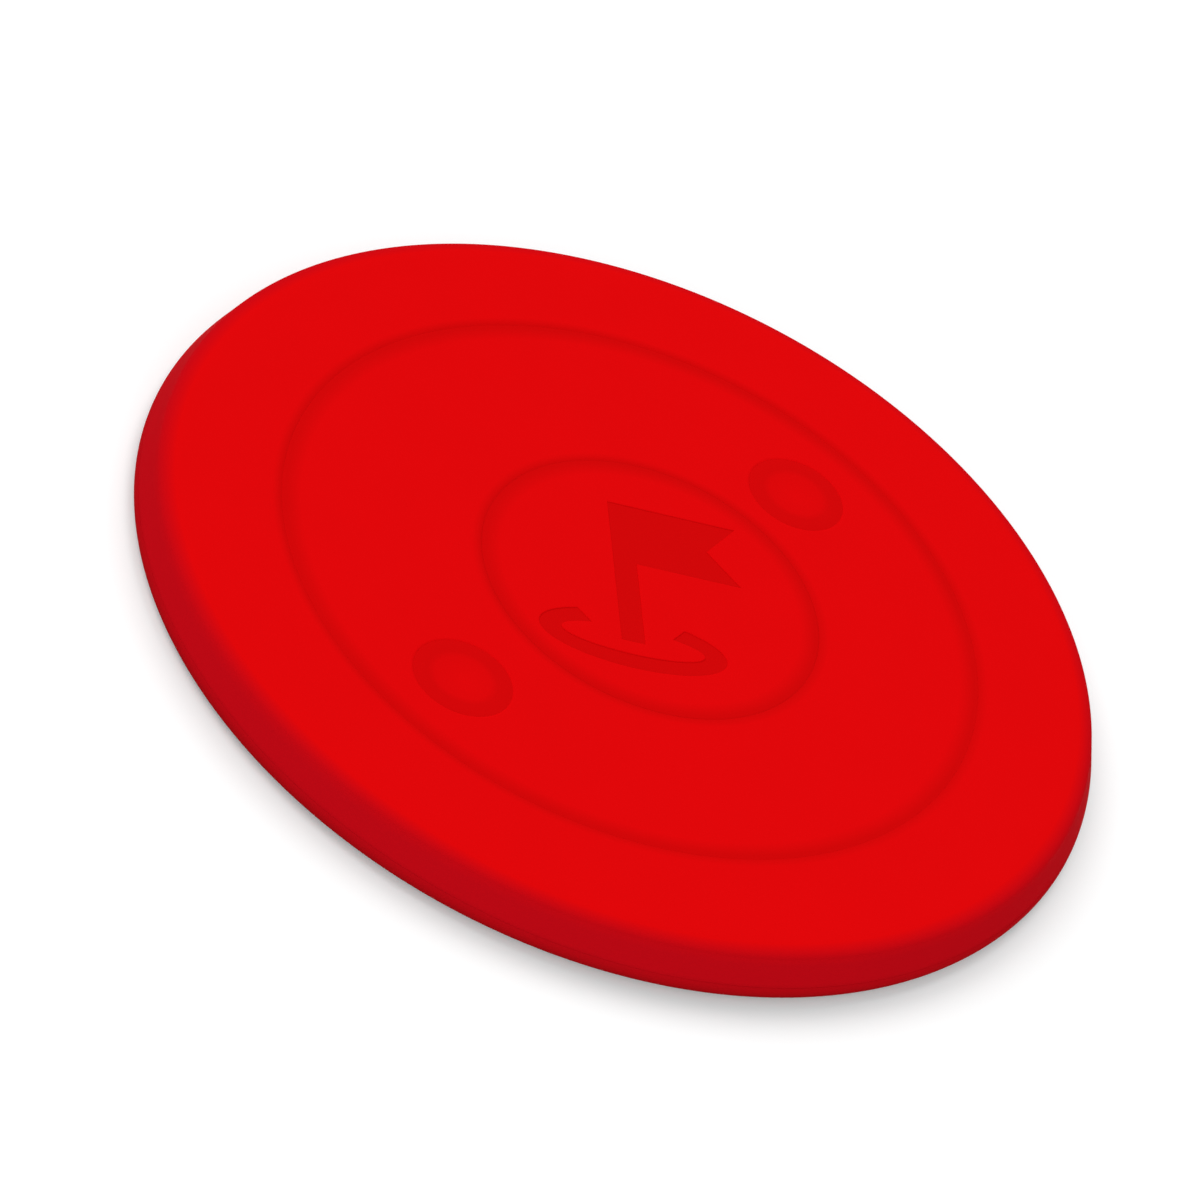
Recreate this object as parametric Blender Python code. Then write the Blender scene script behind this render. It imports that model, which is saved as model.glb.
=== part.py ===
"""Golf ball marker: a thin red disc, 40 mm across, built as a stack of moulded and metal pieces.

Run it with blender --background --python part.py, or from Blender's text editor.
Units are metres. The disc lies on z = 0 with its top face up, centred on the origin.
+Y is the emblem's "up". Every round piece is turned about its own axis, then drilled.
"""

import math

import bmesh
import bpy
from mathutils import Vector

MM = 0.001

# Driving dimensions
RADIUS = 20.0 * MM  # widest point of the side wall, near the bottom
THICKNESS = 2.1 * MM  # bottom to the flat outer ring of the top face
CLEARANCE = 0.05 * MM  # gap that every piece keeps to its neighbours

# Outer edge of the rim: a rounded foot, a drafted wall and a soft upper shoulder
FOOT_ROUND = 0.56 * MM
WALL_DRAFT = math.radians(22.8)  # from vertical, leaning inwards as it rises
SHOULDER_START = 18.4 * MM  # radius where the flat ring ends and the shoulder begins
SHOULDER_DROP = 0.25 * MM  # height that the shoulder loses before it meets the wall

# Circles seen on the top face
RING_RADIUS = 14.54 * MM  # edge of the recess that takes the inlay
HUB_RADIUS = 7.07 * MM
HUB_CENTRE = Vector((0.72 * MM, 0.0, 0.0))  # the hub sits slightly off the middle
DOT_RADIUS = 2.02 * MM
DOT_CIRCLE = 10.72 * MM  # distance of each dot from the disc's centre
DOT_ANGLES = {"front": math.radians(225.0), "rear": math.radians(45.0)}
FACE_STEP = 0.02 * MM  # the inlay, the badge and the pins sit this far below the rim
ROLLED_WIDTH = 0.50 * MM  # soft rolled edge of the inlay, the badge and the pins
ROLLED_DEPTH = 0.06 * MM
DISH_DEPTH = 0.06 * MM  # hollow in the middle of a pin's head

# Heights of the stack, from the bottom up
COVER_THICKNESS = 0.50 * MM
BALLAST_THICKNESS = 0.40 * MM
WEB_THICKNESS = 0.35 * MM
FILM_THICKNESS = 0.08 * MM
BALLAST_BOTTOM = COVER_THICKNESS + CLEARANCE
WEB_BOTTOM = BALLAST_BOTTOM + BALLAST_THICKNESS + CLEARANCE
WEB_TOP = WEB_BOTTOM + WEB_THICKNESS
FACE_TOP = THICKNESS - FACE_STEP

# Base side
POCKET_RADIUS = 17.35 * MM  # pocket under the web, closed by the back cover
GRIP_OUTER = 15.8 * MM  # outer and inner radius of the shallow recess in the base
GRIP_INNER = 7.6 * MM
GRIP_DEPTH = 0.12 * MM

# Magnet, standard 10 x 1 mm disc
MAGNET_RADIUS = 5.0 * MM
MAGNET_THICKNESS = 1.0 * MM
MAGNET_BOTTOM = 0.05 * MM  # its face stays just clear of the surface that the marker rests on
MAGNET_TOP = MAGNET_BOTTOM + MAGNET_THICKNESS
WINDOW_RADIUS = 5.2 * MM  # opening in the back cover that the magnet shows through
PILOT_RADIUS = 3.0 * MM  # hole that the wide pieces are turned with, opened out round the hub's axis
PLUG_RADIUS = 5.5 * MM  # plug under the badge, located in the bore of the web
BALLAST_INNER = 6.6 * MM
BALLAST_OUTER = 16.9 * MM
EDGE_BREAK = 0.08 * MM  # chamfer on the metal pieces

# Fastening pins
SHANK_RADIUS = 0.90 * MM
SHANK_FIT = 0.10 * MM  # room round the shank in the plastic pieces, doubled in the steel
TAIL_RADIUS = 1.50 * MM
TAIL_THICKNESS = 0.12 * MM
TAIL_SEAT = 0.20 * MM  # thickness of back cover left above the tail
DISH_RADIUS = 1.40 * MM

# Emblem: a golf flag whose stick stands in the hole, sunk into the badge
EMBLEM_DEPTH = 0.08 * MM
STICK_WIDTH = 0.95 * MM
STICK_X = -1.0 * MM
FLAG_TOP = 4.5 * MM
FLAG_HEIGHT = 3.3 * MM
FLAG_LENGTH = 4.4 * MM
FLAG_NOTCH = 1.3 * MM
HOLE_Y = -3.35 * MM
HOLE_OUTER = (3.9 * MM, 1.5 * MM)
HOLE_INNER = (3.0 * MM, 0.75 * MM)
HOLE_GAP = 70.0  # degrees of the hole's band left open behind the stick

# Facets round one full turn
WIDE_STEPS = 72
HUB_STEPS = 48
PIN_STEPS = 24
CUT_OVERRUN = 0.5 * MM  # how far a cutter stands past the faces it goes through
WELD = 1e-7
SHARP = math.radians(30.0)


def clear_scene():
    for obj in list(bpy.data.objects):
        bpy.data.objects.remove(obj, do_unlink=True)


def plastic(name, colour, roughness):
    """Material of an opaque moulded piece."""
    return surface(name, colour, roughness, 0.0)


def metal(name, colour, roughness):
    """Material of a plated metal piece."""
    return surface(name, colour, roughness, 1.0)


def surface(name, colour, roughness, metallic):
    material = bpy.data.materials.new(name)
    material.use_nodes = True
    shader = material.node_tree.nodes["Principled BSDF"]
    shader.inputs["Base Color"].default_value = (*colour, 1.0)
    shader.inputs["Roughness"].default_value = roughness
    shader.inputs["Metallic"].default_value = metallic
    material.diffuse_color = (*colour, 1.0)
    return material


def arc(centre, radii, start, end, steps):
    """Points of an elliptical arc; angles in degrees, anticlockwise from the first axis."""
    points = []
    for step in range(steps + 1):
        angle = math.radians(start + (end - start) * step / steps)
        points.append((centre[0] + radii[0] * math.cos(angle), centre[1] + radii[1] * math.sin(angle)))
    return points


def soft_corner(start, corner, end, steps):
    """A quadratic curve from start to end that is tangent to both legs of the corner."""
    points = []
    for step in range(steps + 1):
        t = step / steps
        weights = ((1 - t) ** 2, 2 * t * (1 - t), t**2)
        legs = (start, corner, end)
        points.append(tuple(sum(w * leg[i] for w, leg in zip(weights, legs)) for i in range(2)))
    return points


def rolled_edge(radius, top):
    """Quarter ellipse from the flat top out and down to the side of a turned piece."""
    centre = (radius - ROLLED_WIDTH, top - ROLLED_DEPTH)
    return arc(centre, (ROLLED_WIDTH, ROLLED_DEPTH), 90.0, 0.0, 4)


def finish(name, mesh_builder, material, parent, at=(0.0, 0.0, 0.0)):
    """Turns the built mesh into an object with clean outward faces and soft shading."""
    bmesh.ops.remove_doubles(mesh_builder, verts=mesh_builder.verts, dist=WELD)
    bmesh.ops.recalc_face_normals(mesh_builder, faces=mesh_builder.faces)
    mesh = bpy.data.meshes.new(name)
    mesh_builder.to_mesh(mesh)
    mesh_builder.free()
    mesh.shade_smooth()
    mesh.set_sharp_from_angle(angle=SHARP)
    obj = bpy.data.objects.new(name, mesh)
    if material:
        mesh.materials.append(material)
    obj.parent = parent
    obj.location = at
    bpy.context.scene.collection.objects.link(obj)
    return obj


def turned(name, profile, steps, material, parent, at=(0.0, 0.0, 0.0)):
    """Spins a closed (radius, height) profile about Z. A profile on the axis makes a solid disc."""
    builder = bmesh.new()
    verts = [builder.verts.new((radius, 0.0, height)) for radius, height in profile]
    edges = []
    for index, vert in enumerate(verts):
        after = verts[(index + 1) % len(verts)]
        if vert.co.x > 0.0 or after.co.x > 0.0:
            edges.append(builder.edges.new((vert, after)))
    bmesh.ops.spin(
        builder,
        geom=verts + edges,
        cent=(0.0, 0.0, 0.0),
        axis=(0.0, 0.0, 1.0),
        angle=math.tau,
        steps=steps,
        use_merge=True,
    )
    return finish(name, builder, material, parent, at)


def prism(name, outline, bottom, top, parent):
    """A flat outline extruded from bottom to top."""
    builder = bmesh.new()
    face = builder.faces.new([builder.verts.new((x, y, bottom)) for x, y in outline])
    lifted = bmesh.ops.extrude_face_region(builder, geom=[face])["geom"]
    moved = [item for item in lifted if isinstance(item, bmesh.types.BMVert)]
    bmesh.ops.translate(builder, verts=moved, vec=(0.0, 0.0, top - bottom))
    return finish(name, builder, None, parent)


def as_cutter(obj):
    obj.hide_render = True
    obj.display_type = "WIRE"
    return obj


def drill(name, radius, steps, parent, at=(0.0, 0.0, 0.0), seat=None):
    """A round cutter through the whole stack. A seat is (radius, height) of a wider lower end."""
    top = THICKNESS + CUT_OVERRUN
    bottom = -CUT_OVERRUN
    seat_radius, seat_top = seat or (radius, bottom)
    profile = [(0.0, top), (radius, top), (radius, seat_top)]
    if seat:
        profile += [(seat_radius, seat_top), (seat_radius, bottom)]
    profile.append((0.0, bottom))
    return as_cutter(turned(name, profile, steps, None, parent, at))


def cut(obj, cutter):
    modifier = obj.modifiers.new("cut_" + cutter.name, "BOOLEAN")
    modifier.operation = "DIFFERENCE"
    modifier.solver = "EXACT"
    modifier.object = cutter


def wall_radius(height):
    """Radius of the drafted wall at a height, taken off the top of the foot's round."""
    tangent_radius = RADIUS - FOOT_ROUND * (1.0 - math.cos(WALL_DRAFT))
    tangent_height = FOOT_ROUND * (1.0 + math.sin(WALL_DRAFT))
    return tangent_radius - (height - tangent_height) * math.tan(WALL_DRAFT)


def make_rim_shell(material, parent):
    """Outer ring with its drafted wall, and the web inside it that carries the other pieces."""
    wall_top = THICKNESS - SHOULDER_DROP
    shoulder = soft_corner(
        (SHOULDER_START, THICKNESS),
        (wall_radius(THICKNESS), THICKNESS),
        (wall_radius(wall_top), wall_top),
        6,
    )
    foot_centre = (RADIUS - FOOT_ROUND, FOOT_ROUND)
    foot = arc(foot_centre, (FOOT_ROUND, FOOT_ROUND), math.degrees(WALL_DRAFT), -90.0, 6)
    pocket = [(POCKET_RADIUS, 0.0), (POCKET_RADIUS, WEB_BOTTOM), (PILOT_RADIUS, WEB_BOTTOM)]
    recess = [(PILOT_RADIUS, WEB_TOP), (RING_RADIUS, WEB_TOP), (RING_RADIUS, THICKNESS)]
    profile = shoulder + foot + pocket + recess
    return turned("rim_shell", profile, WIDE_STEPS, material, parent)


def make_face_inlay(material, parent):
    """Plate between the ring line and the hub, its outer edge rolled down into the ring line."""
    radius = RING_RADIUS - CLEARANCE
    bottom = WEB_TOP + FILM_THICKNESS + 2 * CLEARANCE
    profile = [(PILOT_RADIUS, FACE_TOP)] + rolled_edge(radius, FACE_TOP)
    profile += [(radius, bottom), (PILOT_RADIUS, bottom)]
    return turned("face_inlay", profile, WIDE_STEPS, material, parent)


def make_inlay_adhesive(material, parent):
    """Die-cut film ring under the inlay."""
    radius = RING_RADIUS - 4 * CLEARANCE
    bottom = WEB_TOP + CLEARANCE
    top = bottom + FILM_THICKNESS
    profile = [(PILOT_RADIUS, top), (radius, top), (radius, bottom), (PILOT_RADIUS, bottom)]
    return turned("inlay_adhesive", profile, WIDE_STEPS, material, parent)


def make_centre_badge(material, hub):
    """Hub disc: a flange that fills the hub circle, and a plug that locates it in the web."""
    flange = HUB_RADIUS - CLEARANCE
    flange_bottom = WEB_TOP + CLEARANCE
    plug_bottom = MAGNET_TOP + FILM_THICKNESS + 2 * CLEARANCE
    profile = [(0.0, FACE_TOP)] + rolled_edge(flange, FACE_TOP)
    profile += [(flange, flange_bottom), (PLUG_RADIUS, flange_bottom)]
    profile += [(PLUG_RADIUS, plug_bottom), (0.0, plug_bottom)]
    return turned("centre_badge", profile, HUB_STEPS, material, hub)


def chamfered(inner, outer, bottom, top):
    """Section of a flat metal piece, with broken edges."""
    profile = []
    for radius, side in ((outer, -1.0), (inner, 1.0)):
        if radius == 0.0:
            profile += [(0.0, bottom), (0.0, top)]
            continue
        near, far = (top, bottom) if side < 0.0 else (bottom, top)
        step = EDGE_BREAK if near == top else -EDGE_BREAK
        flat = radius + side * EDGE_BREAK
        profile += [(flat, near), (radius, near - step), (radius, far + step), (flat, far)]
    return profile


def make_magnet(material, hub):
    """Disc magnet under the badge, showing through the back cover."""
    profile = chamfered(0.0, MAGNET_RADIUS, MAGNET_BOTTOM, MAGNET_TOP)
    return turned("magnet", profile, HUB_STEPS, material, hub)


def make_magnet_adhesive(material, hub):
    """Film disc between the magnet and the badge's plug."""
    radius = MAGNET_RADIUS - 8 * CLEARANCE
    bottom = MAGNET_TOP + CLEARANCE
    top = bottom + FILM_THICKNESS
    profile = [(0.0, top), (radius, top), (radius, bottom), (0.0, bottom)]
    return turned("magnet_adhesive", profile, HUB_STEPS, material, hub)


def make_ballast_ring(material, parent):
    """Steel washer that fills the pocket between the web and the back cover."""
    top = BALLAST_BOTTOM + BALLAST_THICKNESS
    profile = chamfered(BALLAST_INNER, BALLAST_OUTER, BALLAST_BOTTOM, top)
    return turned("ballast_ring", profile, WIDE_STEPS, material, parent)


def make_back_cover(material, parent):
    """Base disc. Its underside is relieved, so that it rests on an outer and an inner land."""
    radius = POCKET_RADIUS - CLEARANCE
    profile = [
        (PILOT_RADIUS, COVER_THICKNESS),
        (radius - EDGE_BREAK, COVER_THICKNESS),
        (radius, COVER_THICKNESS - EDGE_BREAK),
        (radius, 0.0),
        (GRIP_OUTER, 0.0),
        (GRIP_OUTER, GRIP_DEPTH),
        (GRIP_INNER, GRIP_DEPTH),
        (GRIP_INNER, 0.0),
        (PILOT_RADIUS, 0.0),
    ]
    return turned("back_cover", profile, WIDE_STEPS, material, parent)


def make_dot_pin(place, material, parent, at):
    """Fastening pin: a dished head in the top face, a shank, and a flat tail in the base."""
    head = DOT_RADIUS - CLEARANCE
    head_bottom = WEB_TOP + CLEARANCE
    tail_top = COVER_THICKNESS - TAIL_SEAT - CLEARANCE
    tail_bottom = tail_top - TAIL_THICKNESS
    profile = arc((0.0, FACE_TOP), (DISH_RADIUS, DISH_DEPTH), -90.0, 0.0, 4)
    profile += rolled_edge(head, FACE_TOP)
    profile += [(head, head_bottom), (SHANK_RADIUS, head_bottom)]
    profile += [(SHANK_RADIUS, tail_top), (TAIL_RADIUS, tail_top)]
    profile += [(TAIL_RADIUS, tail_bottom), (0.0, tail_bottom)]
    return turned("dot_pin_" + place, profile, PIN_STEPS, material, parent, at)


def flag_outline():
    left = STICK_X - STICK_WIDTH / 2
    right = STICK_X + STICK_WIDTH / 2
    flag_bottom = FLAG_TOP - FLAG_HEIGHT
    flag_end = right + FLAG_LENGTH
    return [
        (left, HOLE_Y),
        (right, HOLE_Y),
        (right, flag_bottom),
        (flag_end, flag_bottom),
        (flag_end - FLAG_NOTCH, FLAG_TOP - FLAG_HEIGHT / 2),
        (flag_end, FLAG_TOP),
        (left, FLAG_TOP),
    ]


def hole_outline():
    """Band of the hole: an ellipse ring seen at a slant, open behind the stick."""
    start = 90.0 + HOLE_GAP / 2
    end = 450.0 - HOLE_GAP / 2
    centre = (STICK_X, HOLE_Y)
    outer = arc(centre, HOLE_OUTER, start, end, 24)
    inner = arc(centre, HOLE_INNER, end, start, 24)
    return outer + inner


def cut_emblem(badge, hub):
    bottom = FACE_TOP - EMBLEM_DEPTH
    top = FACE_TOP + CUT_OVERRUN
    for name, outline in (("emblem_flag", flag_outline()), ("emblem_hole", hole_outline())):
        cut(badge, as_cutter(prism(name, outline, bottom, top, hub)))


def cut_hub(pieces, hub):
    """Openings round the hub's axis: bore of the web, hole of the inlay, window of the cover."""
    openings = (
        ("web_bore", PLUG_RADIUS + CLEARANCE, "rim_shell"),
        ("inlay_bore", HUB_RADIUS, "face_inlay"),
        ("film_bore", HUB_RADIUS + 4 * CLEARANCE, "inlay_adhesive"),
        ("cover_window", WINDOW_RADIUS, "back_cover"),
    )
    for name, radius, piece in openings:
        cut(pieces[piece], drill(name, radius, HUB_STEPS, hub))


def cut_pin_holes(pieces, place, parent, at):
    """Every hole that one pin goes through. The one in the base is wider where it takes the tail."""
    shank_hole = SHANK_RADIUS + SHANK_FIT
    tail_seat = (TAIL_RADIUS + CLEARANCE, COVER_THICKNESS - TAIL_SEAT)
    holes = (
        ("inlay", DOT_RADIUS, None, "face_inlay"),
        ("film", DOT_RADIUS + 4 * CLEARANCE, None, "inlay_adhesive"),
        ("web", shank_hole, None, "rim_shell"),
        ("ballast", shank_hole + SHANK_FIT, None, "ballast_ring"),
        ("cover", shank_hole, tail_seat, "back_cover"),
    )
    for label, radius, seat, piece in holes:
        name = "pin_hole_" + label + "_" + place
        cut(pieces[piece], drill(name, radius, PIN_STEPS, parent, at, seat))


def empty(name, parent=None, at=(0.0, 0.0, 0.0)):
    obj = bpy.data.objects.new(name, None)
    obj.empty_display_size = RADIUS / 4
    obj.parent = parent
    obj.location = at
    bpy.context.scene.collection.objects.link(obj)
    return obj


def main():
    clear_scene()
    rim_red = plastic("rim_red", (0.74, 0.004, 0.004), 0.50)
    inlay_red = plastic("inlay_red", (0.73, 0.004, 0.004), 0.52)
    base_red = plastic("base_red", (0.60, 0.004, 0.005), 0.60)
    film = plastic("clear_film", (0.75, 0.74, 0.70), 0.35)
    nickel = metal("nickel", (0.78, 0.76, 0.72), 0.22)
    zinc = metal("zinc_plate", (0.62, 0.63, 0.64), 0.38)

    marker = empty("ball_marker")
    hub = empty("hub_axis", marker, HUB_CENTRE)
    pieces = {
        "rim_shell": make_rim_shell(rim_red, marker),
        "face_inlay": make_face_inlay(inlay_red, marker),
        "inlay_adhesive": make_inlay_adhesive(film, marker),
        "centre_badge": make_centre_badge(inlay_red, hub),
        "magnet": make_magnet(nickel, hub),
        "magnet_adhesive": make_magnet_adhesive(film, hub),
        "ballast_ring": make_ballast_ring(zinc, marker),
        "back_cover": make_back_cover(base_red, marker),
    }
    cut_emblem(pieces["centre_badge"], hub)
    cut_hub(pieces, hub)
    for place, angle in DOT_ANGLES.items():
        at = (DOT_CIRCLE * math.cos(angle), DOT_CIRCLE * math.sin(angle), 0.0)
        make_dot_pin(place, inlay_red, marker, at)
        cut_pin_holes(pieces, place, marker, at)


main()
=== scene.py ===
"""Looks of the golf ball marker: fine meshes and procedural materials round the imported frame.

Units are metres. Places and sizes come from the frame's boxes. What a box can't tell, such as
the width of a rounded edge, is a named constant below.
"""

import math

import bmesh
import bpy
from mathutils import Matrix, Vector


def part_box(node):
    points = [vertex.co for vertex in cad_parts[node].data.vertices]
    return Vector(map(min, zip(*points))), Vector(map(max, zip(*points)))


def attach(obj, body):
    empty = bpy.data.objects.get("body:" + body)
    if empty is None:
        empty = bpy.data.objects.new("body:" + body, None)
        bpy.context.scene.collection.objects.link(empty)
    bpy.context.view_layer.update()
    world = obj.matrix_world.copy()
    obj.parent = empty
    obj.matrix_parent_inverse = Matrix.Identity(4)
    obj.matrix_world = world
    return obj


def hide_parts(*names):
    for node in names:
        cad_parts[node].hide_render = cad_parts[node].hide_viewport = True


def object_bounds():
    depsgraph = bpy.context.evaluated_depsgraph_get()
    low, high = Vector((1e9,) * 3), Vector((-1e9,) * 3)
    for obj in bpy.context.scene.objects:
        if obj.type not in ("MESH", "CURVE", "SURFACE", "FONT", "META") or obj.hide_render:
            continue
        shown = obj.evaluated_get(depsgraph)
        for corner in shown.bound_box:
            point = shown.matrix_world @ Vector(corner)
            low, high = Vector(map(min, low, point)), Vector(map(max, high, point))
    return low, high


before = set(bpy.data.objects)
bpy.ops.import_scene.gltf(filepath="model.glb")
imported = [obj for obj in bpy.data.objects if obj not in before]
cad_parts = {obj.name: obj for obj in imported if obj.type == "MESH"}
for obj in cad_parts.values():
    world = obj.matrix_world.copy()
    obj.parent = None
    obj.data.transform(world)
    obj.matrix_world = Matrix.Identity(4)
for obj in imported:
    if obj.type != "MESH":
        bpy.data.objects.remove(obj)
cad_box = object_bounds()

MM = 0.001
ROOT = "root"
MIDDLE = (0.0, 0.0)  # the disc's axis in plan

# Fineness of the visible surfaces
WIDE_STEPS = 288  # facets round one full turn
HUB_STEPS = 192
PIN_STEPS = 96
SHOULDER_STEPS = 28  # facets across a rounded edge
FOOT_STEPS = 20
DISH_STEPS = 16
EDGE_STEPS = 8
MAGNET_STEPS = 6
EMBLEM_STEPS = 5
CRISP_STEPS = 4
HOLE_STEPS = 96
SHARP = math.radians(32.0)
FACE_WEIGHT = 100  # how much wide flat faces rule the shading next to them
WELD = 1e-7
OVERRUN = 0.5 * MM

# Rim: the same section as the frame's, with finer rounds
WALL_DRAFT = math.radians(22.8)
FOOT_ROUND = 0.56 * MM
SHOULDER_START = 18.4 * MM
SHOULDER_DROP = 0.25 * MM
CRISP_ROUND = 0.03 * MM
PARTING_LINE = 0.012 * MM  # depth of the line, and half its width

# Seams: each is a soft shallow valley between two pieces
RING_GAP = 0.05 * MM  # gap that the frame's pieces keep
FIT_GAP = 0.002 * MM  # gap that the visible pieces keep
RIM_LIP_WIDTH = 0.35 * MM
LIP_WIDTH = 0.25 * MM
DOT_LIP_WIDTH = 0.12 * MM
LIP_DEPTH = 0.028 * MM
ROLLED_WIDTH = 0.50 * MM
ROLLED_DEPTH = 0.028 * MM

# Pins
DISH_RADIUS = 1.42 * MM
DISH_DEPTH = 0.05 * MM
SHANK_RADIUS = 0.90 * MM
SHANK_HOLE = 1.00 * MM
TAIL_RADIUS = 1.50 * MM
TAIL_BOTTOM = 0.13 * MM
TAIL_TOP = 0.25 * MM
TAIL_SEAT_TOP = 0.30 * MM

# Web, plug, base and magnet
WEB_BOTTOM = 1.00 * MM
WEB_TOP = 1.35 * MM
PLUG_RADIUS = 5.50 * MM
POCKET_RADIUS = 17.35 * MM
WINDOW_RADIUS = 5.20 * MM
PILOT_RADIUS = 3.0 * MM  # hole that the wide pieces are turned with, opened out round the hub's axis
MAGNET_ROUND = 0.12 * MM
GRIP_OUTER = 15.8 * MM
GRIP_INNER = 7.6 * MM
GRIP_DEPTH = 0.12 * MM
GRIP_RIBS = 9  # rib places, of which the first and the last stay empty
GRIP_RIB_HEIGHT = 0.09 * MM
GRIP_RIB_REACH = 0.24  # half width of a rib's crest and of its foot, as shares of the pitch
GRIP_FOOT_REACH = 0.38

# Emblem, sunk into the badge: a golf flag whose stick stands in the hole
EMBLEM_DEPTH = 0.04 * MM
EMBLEM_LIP = 0.06 * MM
STICK_WIDTH = 0.95 * MM
STICK_X = -1.0 * MM
FLAG_TOP = 4.5 * MM
FLAG_HEIGHT = 3.3 * MM
FLAG_LENGTH = 4.4 * MM
FLAG_NOTCH = 1.3 * MM
HOLE_Y = -3.35 * MM
HOLE_OUTER = (3.9 * MM, 1.5 * MM)
HOLE_INNER = (3.0 * MM, 0.75 * MM)
HOLE_GAP = 70.0  # degrees of the hole's band left open behind the stick
SHARPEST_MITRE = 0.3

# Red plastic
RED = (0.727, 0.0019, 0.0028)
# the dark red that painted shade and the random mottle mix towards
SHADE_AND_MOTTLE_DARK = (0.0, 0.0019, 0.0)
# painted shade of the rim's side wall and shoulder; on the base, the darker end of its random mottle
WALL_SHADE_AND_MOTTLE_RED = (0.490, 0.0027, 0.0070)
GLOSS = 0.002
BASE_GLOSS = 0.06
PLASTIC_IOR = 1.46
NOISE_RANGE = (0.3, 0.7)  # what most of a noise's values lie between
SCRATCH_RANGE = (0.35, 0.65)
MOTTLE_SIZE = 3.0 * MM
MOTTLE = (0.985, 1.0)
GRAIN_SIZE = 0.09 * MM
GRAIN_ROUGHNESS = (0.55, 0.65)
GRAIN_BUMP = 0.0035 * MM
FULL = 1.0

# Painted shade on the red, as the share of colour that each takes away, and how far each reaches
LINE_SHADE = 0.14
LINE_INSIDE = 0.80 * MM
LINE_CORE = 0.18 * MM
LINE_OUTSIDE = 0.40 * MM
DOT_SHADE = 0.08
DOT_INSIDE = 0.30 * MM
DOT_OUTSIDE = 0.10 * MM
DISH_SHADE = 0.05
SUNK_SHADE = 0.15
SUNK_REACH = (0.9, 0.5)  # shares of the emblem's depth: full shade below the first, none above the second
FOOT_SHADE = 0.32
FOOT_REACH = (0.35 * MM, 0.95 * MM)
# radii over which the painted shade of the side wall comes in
WALL_SHADE_REACH = (18.85 * MM, 19.60 * MM)

# Camera: a long lens, rolled so that the disc leans down to the right
CAMERA_AZIMUTH = math.radians(21.964)
CAMERA_ELEVATION = math.radians(38.643)
CAMERA_ROLL = math.radians(26.941)
CAMERA_DISTANCE = 282.365 * MM
CAMERA_LENS = 218.07
CAMERA_SENSOR = 36.0
CAMERA_CLIP = (0.01, 10.0)
CAMERA_AIM = Vector((-1.5257, -1.378, 2.05)) * MM

# Studio
FLOOR_HALF = 3.0
FLOOR_DROP = 0.01 * MM
PAPER = (0.975, 0.87, 0.87)
PAPER_GLOW = (0.055, 0.180, 0.180)  # cool, to balance the red light that the disc throws on the paper
SKY_STRENGTH = 0.44
LAMPS = {
    # name: (azimuth from +Y towards +X, elevation, spread, strength); angles in degrees
    "key_left": (-38.0, 43.0, 38.0, 1.055),
    "key_right": (24.0, 43.0, 38.0, 1.055),
    "fill": (-165.0, 20.0, 60.0, 1.28),
}


def centre_and_radius(node):
    """Axis and radius of a round frame node, from its box."""
    low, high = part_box(node)
    return (low + high) / 2, (high.x - low.x) / 2


# Frame values that several pieces share
rim_low, rim_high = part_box("rim_shell")
inlay_low, inlay_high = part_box("face_inlay")
RADIUS = (rim_high.x - rim_low.x) / 2
RIM_TOP = rim_high.z
FACE_TOP = inlay_high.z
RING_RADIUS = (inlay_high.x - inlay_low.x) / 2 + RING_GAP
HUB, BADGE_RADIUS = centre_and_radius("centre_badge")
HUB_RADIUS = BADGE_RADIUS + RING_GAP
PINS = {node: centre_and_radius(node) for node in ("dot_pin_front", "dot_pin_rear")}


# Profiles and meshes


def arc(centre, radii, start, end, steps):
    """Points of an elliptical arc; angles in degrees."""
    points = []
    for step in range(steps + 1):
        angle = math.radians(start + (end - start) * step / steps)
        points.append((centre[0] + radii[0] * math.cos(angle), centre[1] + radii[1] * math.sin(angle)))
    return points


def soft_corner(start, corner, end, steps):
    """A quadratic curve from start to end that is tangent to both legs of the corner."""
    points = []
    for step in range(steps + 1):
        t = step / steps
        weights = ((1 - t) ** 2, 2 * t * (1 - t), t**2)
        legs = (start, corner, end)
        points.append(tuple(sum(w * leg[i] for w, leg in zip(weights, legs)) for i in range(2)))
    return points


def rolled_edge(radius, top, width=ROLLED_WIDTH, depth=ROLLED_DEPTH):
    """Soft curve from a flat top down to the radius. With a negative width it starts outside it."""
    middle = (radius - width / 2, top)
    return soft_corner((radius - width, top), middle, (radius, top - depth), EDGE_STEPS)


def dish(radius, depth):
    """A shallow hollow in the face that levels out at its middle and at its rim."""
    points = []
    for step in range(DISH_STEPS + 1):
        share = step / DISH_STEPS
        points.append((radius * share, FACE_TOP - depth * (1.0 + math.cos(math.pi * share)) / 2))
    return points


def to_object(name, builder):
    """Turns a bmesh into an object of the scene, welded and with its faces pointing out."""
    bmesh.ops.remove_doubles(builder, verts=builder.verts, dist=WELD)
    bmesh.ops.recalc_face_normals(builder, faces=builder.faces)
    mesh = bpy.data.meshes.new(name)
    builder.to_mesh(mesh)
    builder.free()
    obj = bpy.data.objects.new(name, mesh)
    bpy.context.scene.collection.objects.link(obj)
    return obj


def turned(name, profile, steps, centre=MIDDLE):
    """Spins a closed (radius, height) profile about a vertical axis through centre."""
    builder = bmesh.new()
    verts = [builder.verts.new((radius, 0.0, height)) for radius, height in profile]
    edges = []
    for index, vert in enumerate(verts):
        after = verts[(index + 1) % len(verts)]
        if vert.co.x > 0.0 or after.co.x > 0.0:
            edges.append(builder.edges.new((vert, after)))
    bmesh.ops.spin(
        builder,
        geom=verts + edges,
        cent=(0.0, 0.0, 0.0),
        axis=(0.0, 0.0, 1.0),
        angle=math.tau,
        steps=steps,
        use_merge=True,
    )
    bmesh.ops.translate(builder, verts=builder.verts, vec=(centre[0], centre[1], 0.0))
    return to_object(name, builder)


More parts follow.
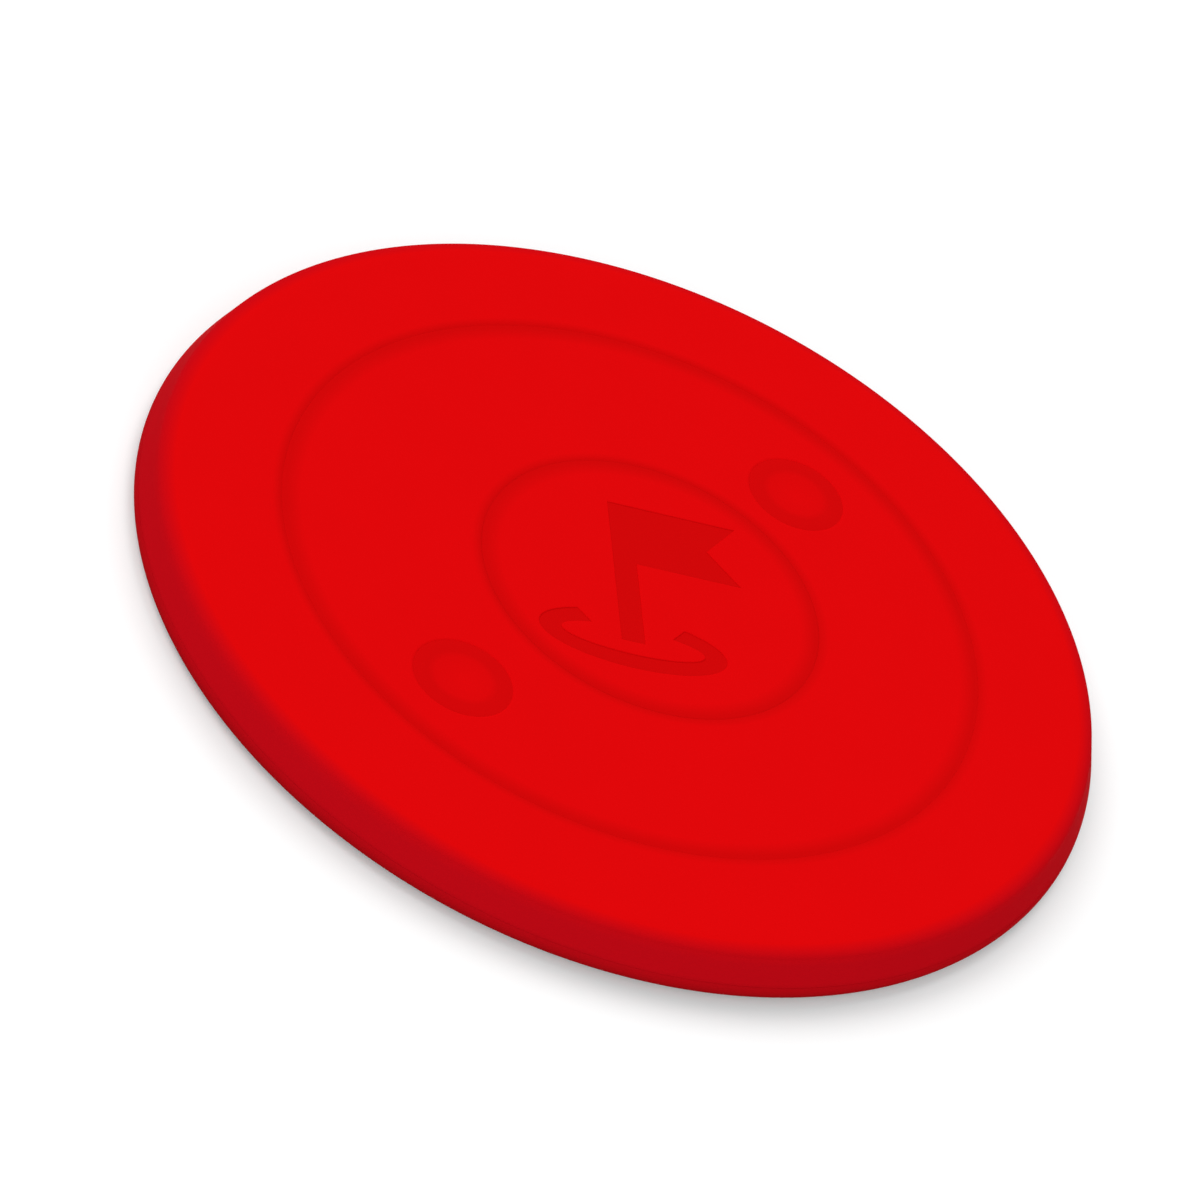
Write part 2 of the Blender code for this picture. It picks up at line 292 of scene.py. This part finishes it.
def drill(radius, steps, centre, lip=0.0, seat=None):
    """A cutter through the whole stack. A lip is the width of its soft flare where it meets the top
    face, and a seat is (radius, height) of a wider lower end."""
    high = cad_box[1].z + OVERRUN
    low = cad_box[0].z - OVERRUN
    profile = [(0.0, high), (radius + lip, high)]
    if lip:
        profile += rolled_edge(radius, FACE_TOP, -lip, LIP_DEPTH)
    if seat:
        profile += [(radius, seat[1]), seat]
        radius = seat[0]
    profile += [(radius, low), (0.0, low)]
    return turned("cutter", profile, steps, centre)


def cut(obj, cutters):
    """Takes the cutters out of obj, applies the result and removes the cutters."""
    for cutter in cutters:
        modifier = obj.modifiers.new("cut", "BOOLEAN")
        modifier.operation = "DIFFERENCE"
        modifier.solver = "EXACT"
        modifier.object = cutter
    graph = bpy.context.evaluated_depsgraph_get()
    mesh = bpy.data.meshes.new_from_object(obj.evaluated_get(graph))
    obj.modifiers.clear()
    obj.data = mesh
    for cutter in cutters:
        bpy.data.objects.remove(cutter, do_unlink=True)


def soften(obj):
    """Smooth shading with creases kept, weighted so that wide flat faces stay flat."""
    obj.data.shade_smooth()
    obj.data.set_sharp_from_angle(angle=SHARP)
    modifier = obj.modifiers.new("weighted_normal", "WEIGHTED_NORMAL")
    modifier.keep_sharp = True
    modifier.weight = FACE_WEIGHT


def place(obj, node, material):
    """Finishes a piece: shading, material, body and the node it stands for."""
    soften(obj)
    obj.data.materials.clear()
    obj.data.materials.append(material)
    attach(obj, ROOT)
    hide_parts(node)


# Materials


class Surface:
    """A Principled material and short calls to wire noise, ramps and bump into it."""

    def __init__(self, name, **values):
        self.material = bpy.data.materials.new(name)
        self.material.use_nodes = True
        self.nodes = self.material.node_tree.nodes
        self.shader = self.nodes["Principled BSDF"]
        for socket, value in values.items():
            self.shader.inputs[socket.replace("_", " ")].default_value = value
        self.place = self.nodes.new("ShaderNodeTexCoord").outputs["Object"]

    def link(self, source, target):
        self.material.node_tree.links.new(source, target)

    def noise(self, size, detail, stretch=(1.0, 1.0, 1.0)):
        """Noise with features about size metres across."""
        mapping = self.nodes.new("ShaderNodeMapping")
        mapping.inputs["Scale"].default_value = stretch
        node = self.nodes.new("ShaderNodeTexNoise")
        node.inputs["Scale"].default_value = 1.0 / size
        node.inputs["Detail"].default_value = detail
        self.link(self.place, mapping.inputs["Vector"])
        self.link(mapping.outputs["Vector"], node.inputs["Vector"])
        return node.outputs["Fac"]

    def span(self, value, source, target):
        """Maps a value in a straight line from one range to another, and holds it at the ends."""
        node = self.nodes.new("ShaderNodeMapRange")
        self.link(value, node.inputs["Value"])
        for socket, number in zip(("From Min", "From Max", "To Min", "To Max"), (*source, *target)):
            node.inputs[socket].default_value = number
        return node.outputs["Result"]

    def times(self, first, second):
        node = self.nodes.new("ShaderNodeMath")
        node.operation = "MULTIPLY"
        self.link(first, node.inputs[0])
        self.link(second, node.inputs[1])
        return node.outputs["Value"]

    def distance(self, centre):
        """Distance in plan from a vertical axis."""
        mapping = self.nodes.new("ShaderNodeMapping")
        mapping.inputs["Location"].default_value = (-centre[0], -centre[1], 0.0)
        mapping.inputs["Scale"].default_value = (1.0, 1.0, 0.0)
        node = self.nodes.new("ShaderNodeVectorMath")
        node.operation = "LENGTH"
        self.link(self.place, mapping.inputs["Vector"])
        self.link(mapping.outputs["Vector"], node.inputs[0])
        return node.outputs["Value"]

    def height(self):
        node = self.nodes.new("ShaderNodeSeparateXYZ")
        self.link(self.place, node.inputs["Vector"])
        return node.outputs["Z"]

    def between(self, first, second, factor):
        """A colour from first at 0 to second at 1."""
        node = self.nodes.new("ShaderNodeMix")
        node.data_type = "RGBA"
        self.link(factor, node.inputs["Factor"])
        for socket, colour in zip([i for i in node.inputs if i.type == "RGBA"], (first, second)):
            if isinstance(colour, tuple):
                socket.default_value = (*colour, 1.0)
            else:
                self.link(colour, socket)
        return [output for output in node.outputs if output.type == "RGBA"][0]

    def paint(self, colour):
        self.link(colour, self.shader.inputs["Base Color"])

    def rough(self, value):
        self.link(value, self.shader.inputs["Roughness"])

    def bump(self, height, distance):
        node = self.nodes.new("ShaderNodeBump")
        node.inputs["Distance"].default_value = distance
        self.link(height, node.inputs["Height"])
        self.link(node.outputs["Normal"], self.shader.inputs["Normal"])


def inside_edge_shade(centre, radius, depth=LINE_SHADE, width=LINE_INSIDE, core=LINE_CORE):
    """Painted shade of a round piece that darkens towards its edge, and is even over the last core of it.
    """
    reach = (radius - width, radius - core)
    return lambda surface: surface.span(surface.distance(centre), reach, (FULL, FULL - depth))


def hole_edge_shade(centre, radius, depth=LINE_SHADE, width=LINE_OUTSIDE):
    """Painted shade of a plate that darkens towards the edge of a round hole in it."""
    reach = (radius, radius + width)
    return lambda surface: surface.span(surface.distance(centre), reach, (FULL - depth, FULL))


def sunk_floor_shade(surface):
    """Painted shade on the floor of the sunk emblem."""
    floor = tuple(FACE_TOP - share * EMBLEM_DEPTH for share in SUNK_REACH)
    return surface.span(surface.height(), floor, (FULL - SUNK_SHADE, FULL))


def painted_foot_shade(surface):
    """Painted shade, darker towards the bottom of the rim's round foot."""
    return surface.span(surface.height(), FOOT_REACH, (FULL - FOOT_SHADE, FULL))


def painted_wall_shade(surface):
    """Mask of the painted wall shade: 0 on the face, 1 on the side wall."""
    return surface.span(surface.distance(MIDDLE), WALL_SHADE_REACH, (0.0, 1.0))


def moulded_red(name, shades, wall_shade_band=None):
    """Satin spark-textured plastic. Each painted shade gives a value, 1 where the colour is full. The
    last argument is a mask for the painted shade of the side wall and its shoulder."""
    surface = Surface(name, Specular_IOR_Level=GLOSS, IOR=PLASTIC_IOR)
    factor = surface.span(surface.noise(MOTTLE_SIZE, 3.0), NOISE_RANGE, MOTTLE)
    for shade in shades:
        factor = surface.times(factor, shade(surface))
    colour = surface.between(RED, WALL_SHADE_AND_MOTTLE_RED, wall_shade_band(surface)) if wall_shade_band else RED
    surface.paint(surface.between(SHADE_AND_MOTTLE_DARK, colour, factor))
    grain = surface.noise(GRAIN_SIZE, 2.0)
    surface.rough(surface.span(grain, NOISE_RANGE, GRAIN_ROUGHNESS))
    surface.bump(grain, GRAIN_BUMP)
    return surface.material


def rim_red():
    # painted shade along the ring seam, on the rim's foot and on its side wall
    return moulded_red("rim_red", [hole_edge_shade(MIDDLE, RING_RADIUS), painted_foot_shade], painted_wall_shade)


def inlay_red():
    # painted shade along the ring and hub seams and round the pins' heads
    shades = [inside_edge_shade(MIDDLE, RING_RADIUS), hole_edge_shade(HUB, HUB_RADIUS)]
    shades += [hole_edge_shade(at, head, DOT_SHADE, DOT_OUTSIDE) for at, head in PINS.values()]
    return moulded_red("inlay_red", shades)


def badge_red():
    # painted shade along the hub seam and on the emblem's sunk floor
    return moulded_red("badge_red", [inside_edge_shade(HUB, HUB_RADIUS), sunk_floor_shade])


def pin_red(name, at):
    """Painted shade: the dish of a pin's head darkens a little from its middle, and more near its rim."""
    shades = [
        inside_edge_shade(at, DISH_RADIUS, DISH_SHADE, DISH_RADIUS, 0.0),
        inside_edge_shade(at, DISH_RADIUS, DOT_SHADE, DOT_INSIDE, 0.0),
    ]
    return moulded_red(name, shades)


def base_red():
    """The base: the same plastic, scuffed in fine lines from lying on things."""
    surface = Surface("base_red", Specular_IOR_Level=BASE_GLOSS, IOR=PLASTIC_IOR)
    surface.paint(surface.between(WALL_SHADE_AND_MOTTLE_RED, RED, surface.noise(2.0 * MM, 4.0)))
    scuffs = surface.noise(0.35 * MM, 4.0, stretch=(1.0, 9.0, 1.0))
    surface.rough(surface.span(scuffs, SCRATCH_RANGE, (0.42, 0.66)))
    surface.bump(scuffs, 0.004 * MM)
    return surface.material


def nickel():
    """Bright nickel plating with a faint haze and fine scratches."""
    surface = Surface("nickel", Metallic=1.0)
    haze = surface.noise(1.2 * MM, 4.0)
    surface.paint(surface.between((0.60, 0.57, 0.51), (0.72, 0.69, 0.63), haze))
    scratches = surface.noise(0.15 * MM, 5.0, stretch=(1.0, 14.0, 1.0))
    surface.rough(surface.span(scratches, SCRATCH_RANGE, (0.16, 0.34)))
    surface.bump(scratches, 0.0015 * MM)
    return surface.material


def zinc():
    """Zinc plating on the steel ring, with its cloudy crystals."""
    surface = Surface("zinc", Metallic=1.0)
    cloud = surface.noise(1.6 * MM, 3.0)
    surface.paint(surface.between((0.42, 0.44, 0.47), (0.62, 0.64, 0.67), cloud))
    surface.rough(surface.span(cloud, NOISE_RANGE, (0.30, 0.46)))
    surface.bump(surface.noise(0.12 * MM, 3.0), 0.002 * MM)
    return surface.material


def adhesive_film():
    """Clear acrylic film with slightly milky clouds."""
    surface = Surface("film", Specular_IOR_Level=0.5, Transmission_Weight=0.7, IOR=1.47)
    milk = surface.noise(1.5 * MM, 3.0)
    surface.paint(surface.between((0.74, 0.74, 0.70), (0.90, 0.90, 0.87), milk))
    surface.rough(surface.span(milk, NOISE_RANGE, (0.25, 0.45)))
    surface.bump(surface.noise(0.25 * MM, 3.0), 0.004 * MM)
    return surface.material


def carry_over(nodes, material):
    """Gives frame nodes that stay as they are their own material."""
    for node in nodes:
        for material_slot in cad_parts[node].material_slots:
            material_slot.material = material


# Pieces


def wall_radius(height):
    """Radius of the drafted wall at a height."""
    tangent_radius = RADIUS - FOOT_ROUND * (1.0 - math.cos(WALL_DRAFT))
    tangent_height = FOOT_ROUND * (1.0 + math.sin(WALL_DRAFT))
    return tangent_radius - (height - tangent_height) * math.tan(WALL_DRAFT)


def build_rim(material):
    """Outer ring with its shoulder, drafted wall and round foot, and the web inside it."""
    wall_top = RIM_TOP - SHOULDER_DROP
    parting = rim_low.z + FOOT_ROUND * (1.0 + math.sin(WALL_DRAFT)) + 3 * PARTING_LINE
    foot_centre = (RADIUS - FOOT_ROUND, FOOT_ROUND)
    crisp_centre = (POCKET_RADIUS + CRISP_ROUND, CRISP_ROUND)
    lip_depth = LIP_DEPTH + RIM_TOP - FACE_TOP
    profile = list(reversed(rolled_edge(RING_RADIUS, RIM_TOP, -RIM_LIP_WIDTH, lip_depth)))
    profile += soft_corner(
        (SHOULDER_START, RIM_TOP),
        (wall_radius(RIM_TOP), RIM_TOP),
        (wall_radius(wall_top), wall_top),
        SHOULDER_STEPS,
    )
    profile += [
        (wall_radius(parting + PARTING_LINE), parting + PARTING_LINE),
        (wall_radius(parting) - PARTING_LINE, parting),
        (wall_radius(parting - PARTING_LINE), parting - PARTING_LINE),
    ]
    profile += arc(foot_centre, (FOOT_ROUND, FOOT_ROUND), math.degrees(WALL_DRAFT), -90.0, FOOT_STEPS)
    profile += arc(crisp_centre, (CRISP_ROUND, CRISP_ROUND), 270.0, 180.0, CRISP_STEPS)
    profile += [(POCKET_RADIUS, WEB_BOTTOM), (PILOT_RADIUS, WEB_BOTTOM)]
    profile += [(PILOT_RADIUS, WEB_TOP), (RING_RADIUS, WEB_TOP)]
    rim = turned("rim", profile, WIDE_STEPS)
    drills = [drill(PLUG_RADIUS + RING_GAP, HUB_STEPS, HUB)]
    drills += [drill(SHANK_HOLE, PIN_STEPS, at) for at, _ in PINS.values()]
    cut(rim, drills)
    place(rim, "rim_shell", material)


def build_inlay(material):
    """Plate between the ring line and the hub, with a hole for each pin's head."""
    radius = RING_RADIUS - FIT_GAP
    profile = [(PILOT_RADIUS, FACE_TOP)] + rolled_edge(radius, FACE_TOP)
    profile += [(radius, inlay_low.z), (PILOT_RADIUS, inlay_low.z)]
    inlay = turned("inlay", profile, WIDE_STEPS)
    drills = [drill(HUB_RADIUS, HUB_STEPS, HUB, LIP_WIDTH)]
    drills += [drill(head + RING_GAP, PIN_STEPS, at, DOT_LIP_WIDTH) for at, head in PINS.values()]
    cut(inlay, drills)
    place(inlay, "face_inlay", material)


def grown(outline, distance):
    """The outline moved outwards by a distance, with mitred corners. Points run anticlockwise."""
    points = [Vector(point) for point in outline]
    moved = []
    for index, point in enumerate(points):
        before = (point - points[index - 1]).normalized()
        after = (points[(index + 1) % len(points)] - point).normalized()
        side_before = Vector((before.y, -before.x))
        side_after = Vector((after.y, -after.x))
        mitre = (side_before + side_after).normalized()
        moved.append(point + mitre * distance / max(mitre.dot(side_after), SHARPEST_MITRE))
    return moved


def sunk_cutter(outline, floor, face):
    """A cutter with a rounded lip where it meets the face."""
    levels = [(0.0, floor)]
    lip = soft_corner((EMBLEM_LIP, face), (EMBLEM_LIP / 3, face), (0.0, floor), EMBLEM_STEPS)
    levels += reversed(lip[:-1])
    levels.append((EMBLEM_LIP, face + OVERRUN))
    builder = bmesh.new()
    rings = []
    for growth, height in levels:
        ring = [builder.verts.new((p.x + HUB.x, p.y + HUB.y, height)) for p in grown(outline, growth)]
        rings.append(ring)
    builder.faces.new(list(reversed(rings[0])))
    builder.faces.new(rings[-1])
    for lower, upper in zip(rings, rings[1:]):
        for index in range(len(lower)):
            after = (index + 1) % len(lower)
            builder.faces.new((lower[index], lower[after], upper[after], upper[index]))
    return to_object("cutter", builder)


def flag_outline():
    """The stick with its swallow-tailed flag, in one outline."""
    left = STICK_X - STICK_WIDTH / 2
    right = STICK_X + STICK_WIDTH / 2
    flag_bottom = FLAG_TOP - FLAG_HEIGHT
    flag_end = right + FLAG_LENGTH
    return [
        (left, HOLE_Y),
        (right, HOLE_Y),
        (right, flag_bottom),
        (flag_end, flag_bottom),
        (flag_end - FLAG_NOTCH, FLAG_TOP - FLAG_HEIGHT / 2),
        (flag_end, FLAG_TOP),
        (left, FLAG_TOP),
    ]


def hole_outline():
    """Band of the hole: an ellipse ring seen at a slant, open behind the stick."""
    start = 90.0 + HOLE_GAP / 2
    end = 450.0 - HOLE_GAP / 2
    centre = (STICK_X, HOLE_Y)
    outer = arc(centre, HOLE_OUTER, start, end, HOLE_STEPS)
    inner = arc(centre, HOLE_INNER, end, start, HOLE_STEPS)
    return outer + inner


def build_badge(material):
    """Hub disc: a flange that fills the hub circle, the plug under it, and the sunk emblem."""
    flange = HUB_RADIUS - FIT_GAP
    flange_bottom = WEB_TOP + RING_GAP
    plug_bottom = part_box("centre_badge")[0].z
    profile = [(0.0, FACE_TOP)] + rolled_edge(flange, FACE_TOP)
    profile += [(flange, flange_bottom), (PLUG_RADIUS, flange_bottom)]
    profile += [(PLUG_RADIUS, plug_bottom), (0.0, plug_bottom)]
    badge = turned("badge", profile, HUB_STEPS, HUB)
    floor = FACE_TOP - EMBLEM_DEPTH
    cut(badge, [sunk_cutter(outline(), floor, FACE_TOP) for outline in (flag_outline, hole_outline)])
    place(badge, "centre_badge", material)


def build_pins():
    """Two pins, each with a dished head, a shank and a flat tail."""
    for node, (at, head) in PINS.items():
        radius = head + RING_GAP - FIT_GAP
        profile = dish(DISH_RADIUS, DISH_DEPTH) + rolled_edge(radius, FACE_TOP)
        profile += [(radius, WEB_TOP + RING_GAP), (SHANK_RADIUS, WEB_TOP + RING_GAP)]
        profile += [(SHANK_RADIUS, TAIL_TOP), (TAIL_RADIUS, TAIL_TOP)]
        profile += [(TAIL_RADIUS, TAIL_BOTTOM), (0.0, TAIL_BOTTOM)]
        pin = turned(node.replace("dot_pin", "pin"), profile, PIN_STEPS, at)
        place(pin, node, pin_red(pin.name + "_red", at))


def rib_profile():
    """Recess of the base with its concentric grip ribs, from the outer land to the inner one."""
    pitch = (GRIP_OUTER - GRIP_INNER) / GRIP_RIBS
    points = [(GRIP_OUTER, 0.0)]
    for rib in range(GRIP_RIBS):
        middle = GRIP_OUTER - (rib + 0.5) * pitch
        points.append((middle + pitch * GRIP_FOOT_REACH, GRIP_DEPTH))
        if 0 < rib < GRIP_RIBS - 1:
            crest = (pitch * GRIP_RIB_REACH, GRIP_RIB_HEIGHT)
            points += arc((middle, GRIP_DEPTH), crest, 0.0, -180.0, EDGE_STEPS)
        points.append((middle - pitch * GRIP_FOOT_REACH, GRIP_DEPTH))
    points.append((GRIP_INNER, 0.0))
    return points


def build_cover(material):
    """Base disc with its grip ribs, the magnet's window and the seats of the pins' tails."""
    low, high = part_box("back_cover")
    radius = (high.x - low.x) / 2
    inner = radius - CRISP_ROUND
    profile = [(PILOT_RADIUS, high.z), (inner, high.z), (radius, high.z - CRISP_ROUND)]
    profile += arc((inner, CRISP_ROUND), (CRISP_ROUND, CRISP_ROUND), 0.0, -90.0, CRISP_STEPS)
    profile += rib_profile() + [(PILOT_RADIUS, 0.0)]
    cover = turned("base_cover", profile, WIDE_STEPS)
    seat = (TAIL_RADIUS + RING_GAP, TAIL_SEAT_TOP)
    drills = [drill(WINDOW_RADIUS, HUB_STEPS, HUB)]
    drills += [drill(SHANK_HOLE, PIN_STEPS, at, seat=seat) for at, _ in PINS.values()]
    cut(cover, drills)
    place(cover, "back_cover", material)


def build_magnet(material):
    """Disc magnet with rounded edges."""
    at, radius = centre_and_radius("magnet")
    low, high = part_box("magnet")
    rounded = (MAGNET_ROUND, MAGNET_ROUND)
    inner = radius - MAGNET_ROUND
    profile = [(0.0, high.z)]
    profile += arc((inner, high.z - MAGNET_ROUND), rounded, 90.0, 0.0, MAGNET_STEPS)
    profile += arc((inner, low.z + MAGNET_ROUND), rounded, 0.0, -90.0, MAGNET_STEPS)
    profile += [(0.0, low.z)]
    magnet = turned("disc_magnet", profile, HUB_STEPS, at)
    place(magnet, "magnet", material)


# Stage


def build_floor():
    """Pale paper just under the disc."""
    mesh = bpy.data.meshes.new("floor")
    level = cad_box[0].z - FLOOR_DROP
    corners = [(x * FLOOR_HALF, y * FLOOR_HALF, level) for x, y in ((-1, -1), (1, -1), (1, 1), (-1, 1))]
    mesh.from_pydata(corners, [], [(0, 1, 2, 3)])
    floor = bpy.data.objects.new("floor", mesh)
    bpy.context.scene.collection.objects.link(floor)
    surface = Surface("floor", Specular_IOR_Level=0.0, Roughness=1.0, Emission_Strength=1.0)
    surface.shader.inputs["Base Color"].default_value = (*PAPER, 1.0)
    surface.shader.inputs["Emission Color"].default_value = (*PAPER_GLOW, 1.0)
    mesh.materials.append(surface.material)


def build_lights():
    """An even white sky, two broad lamps behind the disc and a lower one in front of it."""
    world = bpy.data.worlds.new("studio")
    world.use_nodes = True
    background = world.node_tree.nodes["Background"]
    background.inputs["Color"].default_value = (1.0, 1.0, 1.0, 1.0)
    background.inputs["Strength"].default_value = SKY_STRENGTH
    bpy.context.scene.world = world
    for name, (azimuth, elevation, spread, strength) in LAMPS.items():
        lamp = bpy.data.lights.new(name, "SUN")
        lamp.energy = strength
        lamp.angle = math.radians(spread)
        holder = bpy.data.objects.new(name, lamp)
        azimuth = math.radians(azimuth)
        elevation = math.radians(elevation)
        flat = math.cos(elevation)
        towards = Vector((math.sin(azimuth) * flat, math.cos(azimuth) * flat, math.sin(elevation)))
        holder.rotation_euler = towards.to_track_quat("Z", "Y").to_euler()
        bpy.context.scene.collection.objects.link(holder)


def build_camera():
    """Looks down at the disc from its front left, rolled about the line of sight."""
    sin_az, cos_az = math.sin(CAMERA_AZIMUTH), math.cos(CAMERA_AZIMUTH)
    sin_el, cos_el = math.sin(CAMERA_ELEVATION), math.cos(CAMERA_ELEVATION)
    forward = Vector((sin_az * cos_el, cos_az * cos_el, -sin_el))
    level = Vector((cos_az, -sin_az, 0.0))
    upright = level.cross(forward)
    right = level * math.cos(CAMERA_ROLL) + upright * math.sin(CAMERA_ROLL)
    up = upright * math.cos(CAMERA_ROLL) - level * math.sin(CAMERA_ROLL)
    data = bpy.data.cameras.new("camera")
    data.lens = CAMERA_LENS
    data.sensor_width = CAMERA_SENSOR
    data.clip_start, data.clip_end = CAMERA_CLIP
    camera = bpy.data.objects.new("camera", data)
    turn = Matrix((right, up, -forward)).transposed().to_4x4()
    camera.matrix_world = Matrix.Translation(CAMERA_AIM - forward * CAMERA_DISTANCE) @ turn
    bpy.context.scene.collection.objects.link(camera)
    bpy.context.scene.camera = camera


def main():
    bpy.context.scene.view_settings.view_transform = "Standard"
    build_rim(rim_red())
    build_inlay(inlay_red())
    build_badge(badge_red())
    build_pins()
    build_cover(base_red())
    build_magnet(nickel())
    carry_over(["inlay_adhesive", "magnet_adhesive"], adhesive_film())
    carry_over(["ballast_ring"], zinc())
    build_floor()
    build_lights()
    build_camera()


main()
